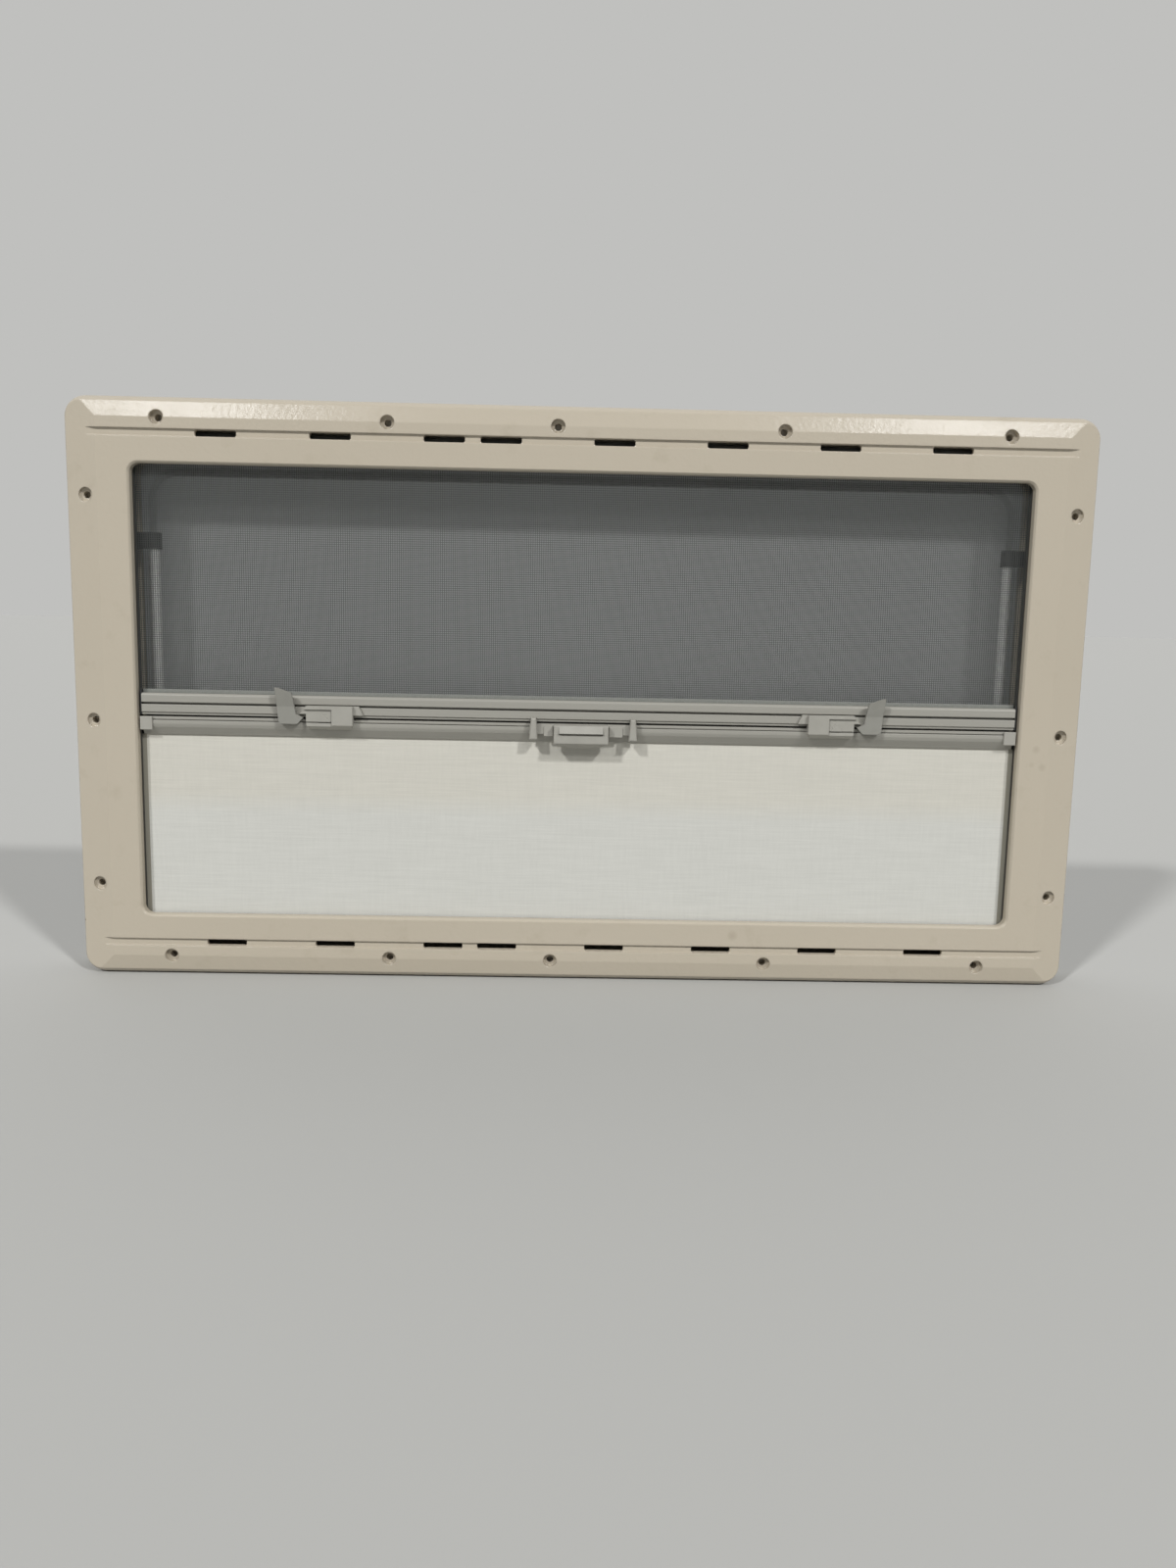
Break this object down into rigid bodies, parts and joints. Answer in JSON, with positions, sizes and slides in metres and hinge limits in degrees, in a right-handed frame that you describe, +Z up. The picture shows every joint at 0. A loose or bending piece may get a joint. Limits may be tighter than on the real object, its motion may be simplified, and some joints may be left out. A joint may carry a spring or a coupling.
{
  "type": "caravan window with roller fly screen and blind",
  "caption": "Top-hung acrylic caravan window in a cream moulded frame, with a roller fly screen above and a roller blind below, half drawn to meet at their pull bars.",
  "frame": {"origin": "on the outer frame's bedding face, at the middle of its bottom strip", "axes": "+X along the window, +Y out of the caravan, +Z up; the room side faces -Y"},
  "size_m": [0.95, 0.0843, 0.54],
  "materials": {
    "cream_paint": "semi-gloss cream paint with orange peel on moulded foam",
    "black_rubber": "soft matt rubber",
    "smoked_acrylic": "grey smoked acrylic, polished",
    "aluminium": "satin anodised",
    "black_plastic": "fine texture",
    "grey_rail": "plain extruded",
    "grey_bar": "satin, with drawn lines",
    "grey_plastic": "satin moulded",
    "screen_mesh": "coated fine mesh",
    "blind_cloth": "white woven cloth with fine slubs"
  },
  "bodies": {
    "root": {"inner_frame": "cream_paint", "outer_frame": "cream_paint", "frame_seal": "black_rubber", "sash_inner_sheet": "smoked_acrylic", "sash_outer_sheet": "smoked_acrylic", "hinge_rail": "aluminium", "sash_hinge_strip": "aluminium", "stay_tube_left": "aluminium", "stay_tube_right": "aluminium", "stay_rod_left": "aluminium", "stay_rod_right": "aluminium", "stay_cap_left": "black_plastic", "stay_cap_right": "black_plastic", "stay_shoe_left": "black_plastic", "stay_shoe_right": "black_plastic", "latch_base_left": "black_plastic", "latch_base_right": "black_plastic", "latch_lever_left": "black_plastic", "latch_lever_right": "black_plastic", "latch_keeper_left": "black_plastic", "latch_keeper_right": "black_plastic", "screen_slider_left": "black_plastic", "screen_slider_right": "black_plastic", "guide_rail_left": "grey_rail", "guide_rail_right": "grey_rail", "screen_bracket_left": "grey_rail", "screen_bracket_right": "grey_rail", "blind_bracket_left": "grey_rail", "blind_bracket_right": "grey_rail", "screen_bar": "grey_bar", "blind_bar": "grey_bar", "blind_bar_end_left": "grey_plastic", "blind_bar_end_right": "grey_plastic", "handle_base": "grey_plastic", "handle_pull": "grey_plastic", "catch_body_left": "grey_plastic", "catch_body_right": "grey_plastic", "catch_lever_left": "grey_plastic", "catch_lever_right": "grey_plastic", "fly_screen": "screen_mesh", "screen_roller": "screen_mesh", "blind_fabric": "blind_cloth", "blind_roller": "blind_cloth"}
  },
  "joints": []
}
